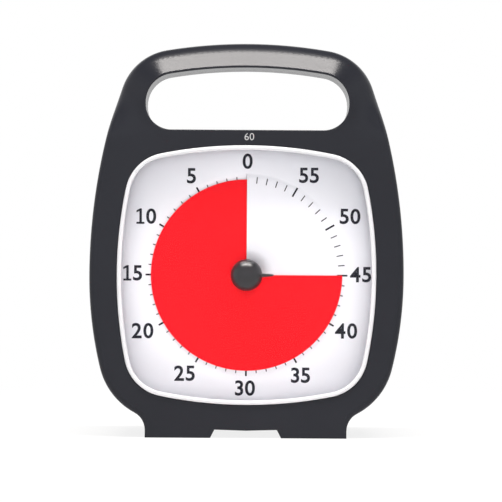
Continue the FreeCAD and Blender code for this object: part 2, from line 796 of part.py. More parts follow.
def movement():
    """Case, cover and shortened gear train of the movement."""
    axis = "Sheet.dial_height"
    half, wall = "Sheet.case_half", "Sheet.case_wall"
    reduction_x, rotor_z = REDUCTION_X, ROTOR_Z
    front, split, back = "Sheet.frame_back", "Sheet.case_split", "Sheet.case_back"
    neck = pin("case_neck", "0", axis, "Sheet.neck_radius", "Sheet.neck_front", front)
    box = block("case_box", f"-{half}", half, front, split, f"{axis} - {half}", f"{axis} + {half}")
    case_room = block("case_room", f"-{half} + {wall}", f"{half} - {wall}", f"{front} + {wall}",
                      f"{split} + 1", f"{axis} - {half} + {wall}", f"{axis} + {half} - {wall}")
    case_bore = pin("case_bore", "0", axis, "Sheet.arbor_radius + Sheet.turning_gap", "0",
                    split)
    case = fuse("case_solid", box, neck)
    pivots = [
        pin("case_pivot", reduction_x, axis, "Sheet.shaft_radius + Sheet.turning_gap",
            f"{front} + {wall} / 2", split),
        pin("case_rotor_pivot", reduction_x, rotor_z, "Sheet.shaft_radius + Sheet.turning_gap",
            f"{front} + {wall} / 2", split),
    ]
    subpart(cut("movement_case", case, fuse("case_cuts", case_room, case_bore, *pivots)),
            "movement_case")
    cover = block("cover_box", f"-{half}", half, split, back, f"{axis} - {half}",
                  f"{axis} + {half}")
    cover_room = block("cover_room", f"-{half} + {wall}", f"{half} - {wall}", f"{split} - 1",
                       f"{back} - {wall}", f"{axis} - {half} + {wall}",
                       f"{axis} + {half} - {wall}")
    cover_bore = pin("cover_bore", "0", axis, "Sheet.arbor_radius + Sheet.turning_gap", split,
                     back + " + 1")
    cover_pivots = [
        pin("cover_pivot", reduction_x, axis, "Sheet.shaft_radius + Sheet.turning_gap",
            split, f"{back} - {wall} / 2"),
        pin("cover_rotor_pivot", reduction_x, rotor_z, "Sheet.shaft_radius + Sheet.turning_gap",
            split, f"{back} - {wall} / 2"),
    ]
    subpart(cut("movement_cover", cover, fuse("cover_cuts", cover_room, cover_bore,
                                              *cover_pivots)), "movement_cover")
    nut = slab(
        "nut_hexagon",
        polygon([
            (size("nut_radius") * math.cos(math.radians(60 * side)),
             size("dial_height") + size("nut_radius") * math.sin(math.radians(60 * side)))
            for side in range(6)
        ]),
        "Sheet.neck_front", "Sheet.frame_front",
    )
    subpart(cut("movement_nut", nut, pin("nut_bore", "0", axis, "Sheet.neck_radius", "0", "20")),
            "movement_nut")
    arbor = pin("arbor", "0", axis, "Sheet.arbor_radius", "-Sheet.knob_base - 2",
                back + " + 0.6")
    subpart(arbor, "arbor")


def gears():
    """Arbor wheel, reduction wheel with its pinion, and the rotor with its pinion."""
    axis, first_gap, second_gap = size("dial_height"), FIRST_GAP, SECOND_GAP
    reduction_x, rotor_z = REDUCTION_X, ROTOR_Z
    first = ("Sheet.first_gear_front", "Sheet.first_gear_front + Sheet.gear_thick")
    second = ("Sheet.second_gear_front", "Sheet.second_gear_front + Sheet.gear_thick")
    half_tooth = 180 / size("pinion_teeth")
    wheel = slab("arbor_wheel_teeth", gear_outline(int(size("arbor_teeth")), 0, 0, axis), *first)
    wheel_bore = pin("arbor_wheel_bore", "0", "Sheet.dial_height", "Sheet.arbor_radius", "0",
                     "40")
    subpart(cut("arbor_wheel", wheel, wheel_bore), "arbor_wheel")
    pinion = slab(
        "reduction_pinion_teeth",
        gear_outline(int(size("pinion_teeth")), 180 + half_tooth, first_gap, axis), *first,
    )
    pinion_bore = pin("reduction_pinion_bore", reduction_x, "Sheet.dial_height",
                      "Sheet.shaft_radius", "0", "40")
    subpart(cut("reduction_pinion", pinion, pinion_bore), "reduction_pinion")
    big = slab(
        "reduction_teeth_outline",
        gear_outline(int(size("reduction_teeth")), -90, first_gap, axis), *second,
    )
    shaft = pin("reduction_shaft", reduction_x, "Sheet.dial_height", "Sheet.shaft_radius",
                "Sheet.frame_back + Sheet.case_wall / 2", "Sheet.case_back - Sheet.case_wall / 2")
    subpart(fuse("reduction_wheel", big, shaft), "reduction_wheel")
    rotor_pinion = slab(
        "rotor_pinion_teeth",
        gear_outline(int(size("pinion_teeth")), 90 + half_tooth, first_gap, axis - second_gap),
        *second,
    )
    rotor_shaft = pin("rotor_shaft", reduction_x, rotor_z, "Sheet.shaft_radius",
                      "Sheet.frame_back + Sheet.case_wall / 2",
                      "Sheet.case_back - Sheet.case_wall / 2")
    subpart(fuse("rotor_pinion", rotor_pinion, rotor_shaft), "rotor_pinion")
    magnet = pin("magnet_round", reduction_x, rotor_z, "Sheet.magnet_radius", "Sheet.magnet_front",
                 "Sheet.magnet_back")
    magnet_bore = pin("magnet_bore", reduction_x, rotor_z, "Sheet.shaft_radius", "0", "40")
    subpart(cut("rotor_magnet", magnet, magnet_bore), "rotor_magnet")
    plate = block("stator_plate", "-22", f"{first_gap} + 7", "Sheet.stator_front",
                  "Sheet.stator_front + Sheet.stator_thick", rotor_z + " - 6", rotor_z + " + 6")
    eye = pin("stator_eye", reduction_x, rotor_z, "Sheet.magnet_radius + 0.4", "0", "40")
    subpart(cut("stator", plate, eye), "stator")
    bobbin = block("coil_bobbin", "-19", "-3", "Sheet.coil_front", "Sheet.coil_back",
                   rotor_z + " - 8", rotor_z + " + 8")
    bobbin_room = block("coil_room", "-20", "-2", "Sheet.stator_front",
                        "Sheet.stator_front + Sheet.stator_thick", rotor_z + " - 6",
                        rotor_z + " + 6")
    subpart(cut("coil", bobbin, bobbin_room), "coil")
    washer = doc.addObject("Part::Cone", "clutch_dish")
    washer.Placement = Placement(Vector(), Rotation(Vector(1, 0, 0), 90))
    bind(washer, Radius1="3", Radius2="6", Height="Sheet.clutch_height",
         Placement__Base__y="Sheet.first_gear_front + Sheet.gear_thick + Sheet.clutch_height",
         Placement__Base__z="Sheet.dial_height")
    washer_bore = pin("clutch_bore", "0", "Sheet.dial_height", "Sheet.arbor_radius", "0", "40")
    subpart(cut("clutch_spring", washer, washer_bore), "clutch_spring")


def electrics():
    """Circuit board, sounder, volume control, cell and its contacts."""
    board_back = "Sheet.board_front + Sheet.board_thick"
    board = block("board_block", "-46", "46", "Sheet.board_front", board_back, "52", "98")
    subpart(board, "circuit_board")
    inner = "Sheet.base_depth - Sheet.wall"
    buzzer = pin("buzzer_round", "-Sheet.volume_x", "Sheet.volume_height", "Sheet.buzzer_radius",
                 f"{inner} - Sheet.buzzer_thick", inner)
    mouth = pin("buzzer_mouth", "-Sheet.volume_x", "Sheet.volume_height", "1.6",
                f"{inner} - 2", f"{inner} + 1")
    subpart(cut("buzzer", buzzer, mouth), "buzzer")
    pot = block("pot_block", "Sheet.volume_x - 6", "Sheet.volume_x + 6", board_back, "40",
                "Sheet.volume_height - 6", "Sheet.volume_height + 6")
    pot_bore = pin("pot_bore", "Sheet.volume_x", "Sheet.volume_height", "2.05", "34", "41")
    subpart(cut("volume_pot", pot, pot_bore), "volume_pot")
    wheel = pin("volume_round", "Sheet.volume_x", "Sheet.volume_height", "Sheet.volume_radius",
                "Sheet.base_depth - Sheet.volume_depth", "Sheet.base_depth - 0.2")
    stem = pin("volume_stem", "Sheet.volume_x", "Sheet.volume_height", "2", "36",
               "Sheet.base_depth - Sheet.volume_depth + 1")
    notch = block("volume_notch", "Sheet.volume_x - 0.8", "Sheet.volume_x + 0.8",
                  "Sheet.base_depth - 1.4", "Sheet.base_depth + 1",
                  "Sheet.volume_height + 1", "Sheet.volume_height + Sheet.volume_radius + 1")
    grips = []
    for step in range(18):
        angle = 2 * math.pi * (step + 0.5) / 18
        grips.append(
            pin(f"grip_{step + 1}",
                f"Sheet.volume_x + (Sheet.volume_radius + 0.3) * {math.sin(angle):.6f}",
                f"Sheet.volume_height + (Sheet.volume_radius + 0.3) * {math.cos(angle):.6f}",
                "0.8", "Sheet.base_depth - Sheet.volume_depth - 1", "Sheet.base_depth + 1")
        )
    subpart(cut("volume_wheel", fuse("volume_body", wheel, stem),
                fuse("volume_cuts", notch, *grips)), "volume_wheel")
    cell = doc.addObject("Part::Cylinder", "cell_can")
    cell.Placement = Placement(Vector(), Rotation(Vector(0, 1, 0), 90))
    bind(cell, Radius="Sheet.cell_radius", Height="Sheet.cell_length",
         Placement__Base__x="-Sheet.cell_length / 2", Placement__Base__y="Sheet.cell_depth",
         Placement__Base__z="Sheet.cell_height")
    nub = doc.addObject("Part::Cylinder", "cell_nub")
    nub.Placement = Placement(Vector(), Rotation(Vector(0, 1, 0), 90))
    bind(nub, Radius="2.7", Height="1.2", Placement__Base__x="Sheet.cell_length / 2",
         Placement__Base__y="Sheet.cell_depth", Placement__Base__z="Sheet.cell_height")
    subpart(fuse("battery_cell", cell, nub), "battery_cell")
    low, high = "Sheet.cell_height - 5", "Sheet.cell_height + 5"
    plus = block("contact_plus", "Sheet.cell_length / 2 + 2.9", "Sheet.cell_length / 2 + 3.4",
                 "33", "44", low, high)
    subpart(plus, "contact_plus")
    leaf = block("contact_leaf", "-Sheet.cell_length / 2 - 3.4", "-Sheet.cell_length / 2 - 2.9",
                 "33", "44", low, high)
    spring = doc.addObject("Part::Cone", "contact_cone")
    spring.Placement = Placement(Vector(), Rotation(Vector(0, 1, 0), 90))
    bind(spring, Radius1="4", Radius2="2.2", Height="2.6",
         Placement__Base__x="-Sheet.cell_length / 2 - 2.9", Placement__Base__y="Sheet.cell_depth",
         Placement__Base__z="Sheet.cell_height")
    subpart(fuse("contact_minus", leaf, spring), "contact_minus")


def screw(label, x, z, seat, length, head=True):
    """Pan-head screw along the depth: the head's underside at seat, the tip length further in."""
    shank = pin(label + "_shank", x, z, "Sheet.screw_shank_radius", f"{seat} - {length}", seat)
    cap = pin(label + "_head", x, z, "Sheet.screw_head_radius", seat,
              f"{seat} + Sheet.screw_head")
    across = block(label + "_recess_a", f"{x} - 1.6", f"{x} + 1.6",
                   f"{seat} + Sheet.screw_head - 1", f"{seat} + Sheet.screw_head + 1",
                   f"{z} - 0.4", f"{z} + 0.4")
    upright = block(label + "_recess_b", f"{x} - 0.4", f"{x} + 0.4",
                    f"{seat} + Sheet.screw_head - 1", f"{seat} + Sheet.screw_head + 1",
                    f"{z} - 1.6", f"{z} + 1.6")
    body = fuse(label + "_body", shank, cap)
    return subpart(cut(label, body, fuse(label + "_cross", across, upright)), label)


def fasteners():
    """Housing screws in their wells and the battery door with its screw."""
    for name, x, z in BOSSES:
        screw("housing_screw_" + name, x, z, BOSS_SEATS[name] + " - Sheet.screw_head", "12")
    base = "Sheet.base_depth"
    door = block("door_plate", "-Sheet.door_half_width", "Sheet.door_half_width",
                 base + " - Sheet.door_thick", base, "Sheet.door_bottom", "Sheet.door_top")
    sink = pin("door_sink", "0", "Sheet.door_top - 3.4", "Sheet.screw_head_radius + 0.3",
               base + " - 1.95", base + " + 1")
    through = pin("door_through", "0", "Sheet.door_top - 3.4", "Sheet.screw_shank_radius + 0.05",
                  "40", base + " + 1")
    subpart(cut("battery_door", door, fuse("door_cuts", sink, through)), "battery_door")
    screw("door_screw", "0", "(Sheet.door_top - 3.4)", base + " - 1.95", "9")


front_bezel()
rear_shell()
lens()
dial_plate()
red_disc()
disc_hub()
knob()
inner_frame()
movement()
gears()
electrics()
fasteners()

doc.recompute()
for obj in doc.Objects:
    if "Invalid" in obj.State or "Error" in obj.State:
        raise RuntimeError(f"{obj.Name} failed: {obj.State}")

os.makedirs("parts", exist_ok=True)
for obj in SUBPARTS:
    shape = obj.Shape
    if shape.isNull() or not shape.isValid():
        raise RuntimeError(f"{obj.Label} has no valid shape")
    shape.exportStep(f"parts/{obj.Label}.step")
    box = shape.BoundBox
    print(
        f"{obj.Label:18} solids {len(shape.Solids)} volume {shape.Volume:9.1f}"
        f" y {box.YMin:6.2f} to {box.YMax:6.2f} z {box.ZMin:6.2f} to {box.ZMax:6.2f}"
    )
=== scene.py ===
"""Desk timer with a red time disc: finish, dial markings, lens, light and camera."""

import json
import math

import bmesh
import bpy
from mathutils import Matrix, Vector, geometry, kdtree


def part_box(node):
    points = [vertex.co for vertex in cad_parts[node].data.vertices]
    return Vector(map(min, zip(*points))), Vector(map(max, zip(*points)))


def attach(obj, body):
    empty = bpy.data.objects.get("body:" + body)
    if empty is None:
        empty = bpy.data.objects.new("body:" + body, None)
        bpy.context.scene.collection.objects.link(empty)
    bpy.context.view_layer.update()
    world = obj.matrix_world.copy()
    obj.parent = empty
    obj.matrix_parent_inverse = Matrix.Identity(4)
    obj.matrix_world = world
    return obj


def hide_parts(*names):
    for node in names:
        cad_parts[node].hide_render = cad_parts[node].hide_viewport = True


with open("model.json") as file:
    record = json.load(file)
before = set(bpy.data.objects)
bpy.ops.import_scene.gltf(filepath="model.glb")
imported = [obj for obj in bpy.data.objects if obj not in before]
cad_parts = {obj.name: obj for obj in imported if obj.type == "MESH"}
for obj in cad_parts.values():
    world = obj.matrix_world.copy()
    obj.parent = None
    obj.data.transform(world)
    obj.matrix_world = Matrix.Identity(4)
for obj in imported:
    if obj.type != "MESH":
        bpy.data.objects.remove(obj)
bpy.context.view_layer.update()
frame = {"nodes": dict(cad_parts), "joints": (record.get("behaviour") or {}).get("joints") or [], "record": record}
NODES = frame["nodes"]

MM = 0.001

# The dial's axis and planes, from the frame
DIAL_LOW, DIAL_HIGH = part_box("dial_plate")
KNOB_JOINT = next(j for j in frame["joints"] if j["name"] == "knob_turn")
AXIS_X = KNOB_JOINT["pos_m"][0]
AXIS_Z = KNOB_JOINT["pos_m"][2]
FRONT_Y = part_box("front_bezel")[0][1]
DIAL_Y = (DIAL_LOW[1] + DIAL_HIGH[1]) / 2

# Sizes of the parts that are drawn here
OPENING_HALF = 58.2 * MM
OPENING_SIDE_RADIUS = 195.0 * MM
OPENING_CORNER_RADIUS = 20.0 * MM
DIAL_THICK = 0.5 * MM
SLIT_PITCH = 1.4 * MM
FLAT_FROM = 46.0 * MM
TWIST_TO = 43.3 * MM
DIAL_HOLE = 5.8 * MM
DIAL_MARGIN = 1.4 * MM

# Steps round the circle, and the smallest length that still counts
OPENING_STEPS_ROUND = 280
LENS_STEPS_ROUND = 240
KNOB_STEPS_ROUND = 96
DIAL_STEPS_ROUND = 256
LEAST_ARC_STEPS = 4
TINY = 1e-6


def new_object(name, mesh, body, material):
    """Link a mesh as a piece that rides on a body."""
    obj = bpy.data.objects.new(name, mesh)
    bpy.context.scene.collection.objects.link(obj)
    mesh.materials.append(material)
    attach(obj, body)
    return obj


def mesh_from(name, points, faces, smooth=True):
    mesh = bpy.data.meshes.new(name)
    mesh.from_pydata(points, [], faces)
    mesh.update()
    for polygon in mesh.polygons:
        polygon.use_smooth = smooth
    return mesh


# Materials

WHITE = (1, 1, 1, 1)
DRIFT_SCALE = 30.0
DRIFT_DETAIL = 3.0
DRIFT_RANGE = (0.3, 0.7)
GLOSS_RANGE = (0.92, 1.08)
GRAIN_DETAIL = 2.0
GRAIN_STRENGTH = 0.25
WINDOW_TINT = (0.985, 0.985, 0.99, 1)
WINDOW_ROUGHNESS = 0.02
WINDOW_BLEND = 0.5
WINDOW_SHARPNESS = 4.0
WINDOW_SHINE = (0.006, 0.5)


def plastic(name, colour, roughness, grain_scale, grain_depth, tone=0.06, shine=0.5):
    """Moulded plastic: slight tone drift, fine grain and a little uneven gloss."""
    material = bpy.data.materials.new(name)
    material.use_nodes = True
    nodes, links = material.node_tree.nodes, material.node_tree.links
    shader = nodes["Principled BSDF"]
    place = nodes.new("ShaderNodeTexCoord")
    drift = nodes.new("ShaderNodeTexNoise")
    drift.inputs["Scale"].default_value = DRIFT_SCALE
    drift.inputs["Detail"].default_value = DRIFT_DETAIL
    links.new(place.outputs["Object"], drift.inputs["Vector"])
    ramp = nodes.new("ShaderNodeValToRGB")
    ramp.color_ramp.elements[0].position = DRIFT_RANGE[0]
    ramp.color_ramp.elements[1].position = DRIFT_RANGE[1]
    ramp.color_ramp.elements[0].color = [c * (1 - tone) for c in colour] + [1]
    ramp.color_ramp.elements[1].color = [min(1.0, c * (1 + tone)) for c in colour] + [1]
    links.new(drift.outputs["Fac"], ramp.inputs["Fac"])
    links.new(ramp.outputs["Color"], shader.inputs["Base Color"])
    gloss = nodes.new("ShaderNodeMapRange")
    gloss.inputs["To Min"].default_value = roughness * GLOSS_RANGE[0]
    gloss.inputs["To Max"].default_value = roughness * GLOSS_RANGE[1]
    links.new(drift.outputs["Fac"], gloss.inputs["Value"])
    links.new(gloss.outputs["Result"], shader.inputs["Roughness"])
    grain = nodes.new("ShaderNodeTexNoise")
    grain.inputs["Scale"].default_value = grain_scale
    grain.inputs["Detail"].default_value = GRAIN_DETAIL
    links.new(place.outputs["Object"], grain.inputs["Vector"])
    bump = nodes.new("ShaderNodeBump")
    bump.inputs["Strength"].default_value = GRAIN_STRENGTH
    bump.inputs["Distance"].default_value = grain_depth
    links.new(grain.outputs["Fac"], bump.inputs["Height"])
    links.new(bump.outputs["Normal"], shader.inputs["Normal"])
    shader.inputs["Specular IOR Level"].default_value = shine
    return material


def metal(name, colour, roughness):
    """Bare metal with a fine grain."""
    material = plastic(name, colour, roughness, grain_scale=900.0, grain_depth=0.02 * MM, tone=0.08)
    material.node_tree.nodes["Principled BSDF"].inputs["Metallic"].default_value = 1.0
    return material


def frosted(name, colour, roughness, cover):
    """Clear plastic seen edge on, given a pale colour that is a painted highlight: it stands in for the white
    highlight along the lens's rounded rim, and is only partly see-through.
    """
    material = plastic(name, colour, roughness, grain_scale=700.0, grain_depth=0.003 * MM,
                       tone=0.01, shine=0.4)
    material.node_tree.nodes["Principled BSDF"].inputs["Alpha"].default_value = cover
    return material


def window_glass(name):
    """Thin clear sheet: passes light straight through, with a faint reflection."""
    material = bpy.data.materials.new(name)
    material.use_nodes = True
    nodes, links = material.node_tree.nodes, material.node_tree.links
    nodes.remove(nodes["Principled BSDF"])
    out = nodes["Material Output"]
    clear = nodes.new("ShaderNodeBsdfTransparent")
    clear.inputs["Color"].default_value = WINDOW_TINT
    mirror = nodes.new("ShaderNodeBsdfGlossy")
    mirror.inputs["Roughness"].default_value = WINDOW_ROUGHNESS
    facing = nodes.new("ShaderNodeLayerWeight")
    facing.inputs["Blend"].default_value = WINDOW_BLEND
    sharper = nodes.new("ShaderNodeMath")
    sharper.operation = "POWER"
    sharper.inputs[1].default_value = WINDOW_SHARPNESS
    links.new(facing.outputs["Facing"], sharper.inputs[0])
    share = nodes.new("ShaderNodeMapRange")
    share.inputs["To Min"].default_value = WINDOW_SHINE[0]
    share.inputs["To Max"].default_value = WINDOW_SHINE[1]
    links.new(sharper.outputs["Value"], share.inputs["Value"])
    mix = nodes.new("ShaderNodeMixShader")
    links.new(share.outputs["Result"], mix.inputs["Fac"])
    links.new(clear.outputs["BSDF"], mix.inputs[1])
    links.new(mirror.outputs["BSDF"], mix.inputs[2])
    links.new(mix.outputs["Shader"], out.inputs["Surface"])
    return material


def make_materials():
    """One material a slot, as colour, roughness, grain scale and depth, then tone and shine."""
    return {
        "housing": plastic("housing", (0.017, 0.018, 0.023), 0.22, 2600.0, 0.012 * MM, shine=0.15),
        "lens_clear": window_glass("lens_window"),
        # The lens rim's pale colour is a painted highlight, not the clear plastic's own colour
        "lens_edge": frosted("lens_edge", (0.84, 0.85, 0.88), 0.15, 0.7),
        "dial_white": plastic("dial_white", (0.85, 0.86, 0.9), 0.55, 1500.0, 0.004 * MM, 0.01, 0.2),
        "disc_red": plastic("disc_red", (0.94, 0.006, 0.014), 0.5, 1800.0, 0.004 * MM, 0.015, 0.08),
        "knob_dark": plastic("knob_dark", (0.018, 0.017, 0.02), 0.3, 2000.0, 0.006 * MM),
        "white_plastic": plastic("white_plastic", (0.75, 0.75, 0.72), 0.5, 1500.0, 0.01 * MM),
        "black_plastic": plastic("black_plastic", (0.02, 0.02, 0.022), 0.45, 1500.0, 0.01 * MM),
        "steel": metal("steel", (0.6, 0.6, 0.6), 0.3),
        "brass": metal("brass", (0.75, 0.6, 0.3), 0.3),
        "copper": metal("copper", (0.72, 0.38, 0.2), 0.35),
        "spring_plate": metal("spring_plate", (0.7, 0.7, 0.68), 0.2),
        "magnet": metal("magnet", (0.12, 0.12, 0.12), 0.5),
        "board": plastic("board", (0.03, 0.2, 0.07), 0.3, 800.0, 0.01 * MM),
        "cell_can": plastic("cell_can", (0.1, 0.1, 0.1), 0.35, 500.0, 0.005 * MM),
        "ink": plastic("ink", (0.012, 0.012, 0.02), 0.6, 900.0, 0.002 * MM, 0.03, 0.2),
        "pale_ink": plastic("pale_ink", (0.42, 0.42, 0.43), 0.6, 900.0, 0.002 * MM, 0.03, 0.2),
    }


def dress_nodes(materials):
    """Give every carried-over node the material of its slot."""
    slots = {s["node"]: s["material_slot"] for s in frame["record"]["subparts"]}
    for name, obj in NODES.items():
        material = materials[slots[name]]
        if not obj.material_slots:
            obj.data.materials.append(material)
        for place in obj.material_slots:
            place.material = material


# Outlines, in millimetres from the bottom centre; they repeat the drawing of the solids

HOUSING_HEIGHT = 177.8
HALF_WIDTH = 70.6
WIDEST_HEIGHT = 72.6
TOP_RADIUS = 220.0
TOP_CORNER_RADIUS = 25.6
UPPER_SIDE_RADIUS = 267.0
LOWER_SIDE_RADIUS = 174.0
BOTTOM_CORNER_RADIUS = 31.0
FOOT_RADIUS = 8.7
FOOT_HALF_WIDTH = 45.2
FOOT_HEIGHT = 3.2
NOTCH = ((15.9, 0.0), (14.0, 3.7), (0.0, 3.3))
HANDLE_BAR = 11.8
HOLE_HEIGHT = 27.9
HOLE_HALF_WIDTH = 45.6
HOLE_UPPER_RADIUS = 13.0
HOLE_LOWER_RADIUS = 11.5
SAMPLE = 1.3


def crossing(first, first_radius, second, second_radius):
    """The higher of the two points where two circles cross."""
    gap = second - first
    along = (first_radius**2 - second_radius**2 + gap.length**2) / (2 * gap.length)
    up = math.sqrt(first_radius**2 - along**2)
    across = Vector((-gap.y, gap.x)).normalized() * up
    middle = first + gap.normalized() * along
    return max(middle + across, middle - across, key=lambda point: point.y)


def beyond(start, through, distance):
    return start + (through - start).normalized() * distance


def arc(centre, start, end):
    """Points from start up to, but not on, end, the short way round centre."""
    centre, start, end = Vector(centre), Vector(start), Vector(end)
    radius = (start - centre).length
    first = math.atan2(start.y - centre.y, start.x - centre.x)
    sweep = math.atan2(end.y - centre.y, end.x - centre.x) - first
    sweep = (sweep + math.pi) % (2 * math.pi) - math.pi
    count = max(LEAST_ARC_STEPS, round(abs(sweep) * radius / SAMPLE))
    turns = (first + sweep * k / count for k in range(count))
    return [centre + radius * Vector((math.cos(a), math.sin(a))) for a in turns]


def straight(start, end):
    """Points from start up to, but not on, end."""
    start, end = Vector(start), Vector(end)
    count = max(1, round((end - start).length / SAMPLE))
    return [start.lerp(end, k / count) for k in range(count)]


def whole(half, last):
    """Close a right-hand half, drawn from the top down to last, with its mirror image."""
    down = half + [Vector(last)]
    return down + [Vector((-point.x, point.y)) for point in reversed(down[1:-1])]


def silhouette():
    """The housing's outline from the front, clockwise from the crown."""
    top = Vector((0, HOUSING_HEIGHT - TOP_RADIUS))
    upper = Vector((HALF_WIDTH - UPPER_SIDE_RADIUS, WIDEST_HEIGHT))
    lower = Vector((HALF_WIDTH - LOWER_SIDE_RADIUS, WIDEST_HEIGHT))
    foot = Vector((FOOT_HALF_WIDTH + FOOT_RADIUS, FOOT_HEIGHT))
    corner = crossing(top, TOP_RADIUS - TOP_CORNER_RADIUS,
                      upper, UPPER_SIDE_RADIUS - TOP_CORNER_RADIUS)
    hip = crossing(lower, LOWER_SIDE_RADIUS - BOTTOM_CORNER_RADIUS,
                   foot, BOTTOM_CORNER_RADIUS + FOOT_RADIUS)
    crown = (0, HOUSING_HEIGHT)
    shoulder_in = beyond(top, corner, TOP_RADIUS)
    shoulder_out = beyond(upper, corner, UPPER_SIDE_RADIUS)
    widest = (HALF_WIDTH, WIDEST_HEIGHT)
    hip_out = beyond(lower, hip, LOWER_SIDE_RADIUS)
    hip_in = beyond(hip, foot, BOTTOM_CORNER_RADIUS)
    ankle = (FOOT_HALF_WIDTH, FOOT_HEIGHT)
    sole = (FOOT_HALF_WIDTH, 0)
    half = arc(top, crown, shoulder_in) + arc(corner, shoulder_in, shoulder_out)
    half += arc(upper, shoulder_out, widest) + arc(lower, widest, hip_out)
    half += arc(hip, hip_out, hip_in) + arc(foot, hip_in, ankle) + straight(ankle, sole)
    half += straight(sole, NOTCH[0]) + straight(NOTCH[0], NOTCH[1])
    half += straight(NOTCH[1], NOTCH[2])
    return whole(half, NOTCH[2])


def grip_hole():
    """The hole under the handle, clockwise from its top."""
    bow = Vector((0, HOUSING_HEIGHT - TOP_RADIUS))
    top = HOUSING_HEIGHT - HANDLE_BAR
    bottom = top - HOLE_HEIGHT
    side = HOLE_HALF_WIDTH - HOLE_UPPER_RADIUS
    bow_radius = top - bow.y
    rise = math.sqrt((bow_radius - HOLE_UPPER_RADIUS) ** 2 - side**2)
    corner = Vector((side, bow.y + rise))
    shoulder = beyond(bow, corner, bow_radius)
    flank = (HOLE_HALF_WIDTH, corner.y)
    turn = (HOLE_HALF_WIDTH, bottom + HOLE_LOWER_RADIUS)
    low = (HOLE_HALF_WIDTH - HOLE_LOWER_RADIUS, bottom)
    middle = (low[0], turn[1])
    half = arc(bow, (0, top), shoulder) + arc(corner, shoulder, flank)
    half += straight(flank, turn) + arc(middle, turn, low) + straight(low, (0, bottom))
    return whole(half, (0, bottom))


def lens_opening():
    """The opening for the lens, clockwise from its top."""
    points = []
    for k in range(OPENING_STEPS_ROUND):
        angle = -2 * math.pi * k / OPENING_STEPS_ROUND
        reach = squircle_radius(angle, 0.0) / MM
        points.append(Vector((AXIS_X / MM - reach * math.sin(angle),
                              AXIS_Z / MM + reach * math.cos(angle))))
    return points


class Loop:
    """A closed outline with its outward normals and the distance from it."""

    def __init__(self, points):
        self.points = points
        self.tree = kdtree.KDTree(len(points))
        for index, point in enumerate(points):
            self.tree.insert(point.to_3d(), index)
        self.tree.balance()
        self.normals = []
        for index, point in enumerate(points):
            along = points[(index + 1) % len(points)] - points[index - 1]
            self.normals.append(Vector((-along.y, along.x)).normalized())

    def distance(self, point):
        index = self.tree.find(point.to_3d())[1]
        near = self.points[index]
        ends = (self.points[index - 1], self.points[(index + 1) % len(self.points)])
        best = (point - near).length
        for end in ends:
            foot, share = geometry.intersect_point_line(point, near, end)
            if 0 < share < 1:
                best = min(best, (point - foot).length)
        return best

    def holds(self, point):
        inside = False
        before = self.points[-1]
        for after in self.points:
            if (after.y > point.y) != (before.y > point.y):
                slope = (before.x - after.x) / (before.y - after.y)
                if point.x < after.x + (point.y - after.y) * slope:
                    inside = not inside
            before = after
        return inside


# The front of the housing

FRONT_ROUND = 3.0
FOOT_ROUND = 0.8
FOOT_BLEND = (2.0, 12.0)
LIP_ROUND = 0.5
HANDLE_LIP = 0.6
HANDLE_LEAN = math.radians(35.0)
HANDLE_SPAN = 11.2
HANDLE_ROLL = 6.0
HANDLE_DEEP = 12.0
# How far the roll's curve is pulled along the lean, and back along the silhouette
LEAN_PULL = 3.2
SIDE_PULL = 4.6
HANDLE_ROLL_STEPS = 120
HANDLE_BLEND = (134.0, 156.0)
BEZEL_BACK = 14.0
OPENING_BACK = 5.0
RIM_STEPS = (0.12, 0.35, 0.7, 1.1, 1.6, 2.2, 3.0, 4.0, 5.2, 6.6, 8.2, 10.0)
HOLE_STEPS = (0.15, 0.5, 1.0, 1.8, 2.8, 3.9, 5.0, 6.2, 7.5, 9.0, 11.0)
OPENING_STEPS = (0.15, 0.5, 1.5)
# Rings this far in keep every second point; no point lies closer to another outline than the gap
THIN_OUT_FROM = 4
LEAST_GAP = 0.4
RING_SLACK = 0.03
SLOPE_STEP = 0.04
MERGE = 1e-4


def smooth(value, low, high):
    share = min(1.0, max(0.0, (value - low) / (high - low)))
    return share * share * (3 - 2 * share)


def roll(distance, radius):
    """Depth of a rounded edge at a distance in from it."""
    if distance >= radius:
        return 0.0
    return radius - math.sqrt(radius**2 - (radius - distance) ** 2)


def handle_roll():
    """The handle's section from the end of its lean to the silhouette, as distance and depth."""
    start = Vector((HANDLE_ROLL, (HANDLE_SPAN - HANDLE_ROLL) * math.tan(HANDLE_LEAN)))
    end = Vector((0.0, HANDLE_DEEP))
    first = start + Vector((-math.cos(HANDLE_LEAN), math.sin(HANDLE_LEAN))) * LEAN_PULL
    second = end - Vector((0.0, SIDE_PULL))
    return geometry.interpolate_bezier(start, first, second, end, HANDLE_ROLL_STEPS)


HANDLE_SECTION = handle_roll()


def handle_depth(distance):
    """Depth of the handle's front at a distance in from the silhouette."""
    if distance >= HANDLE_ROLL:
        return max(0.0, HANDLE_SPAN - distance) * math.tan(HANDLE_LEAN)
    low, high = 0, len(HANDLE_SECTION) - 1
    while high - low > 1:
        middle = (low + high) // 2
        if HANDLE_SECTION[middle].x > distance:
            low = middle
        else:
            high = middle
    near, far = HANDLE_SECTION[low], HANDLE_SECTION[high]
    share = (near.x - distance) / max(near.x - far.x, TINY)
    return near.y + (far.y - near.y) * min(1.0, max(0.0, share))


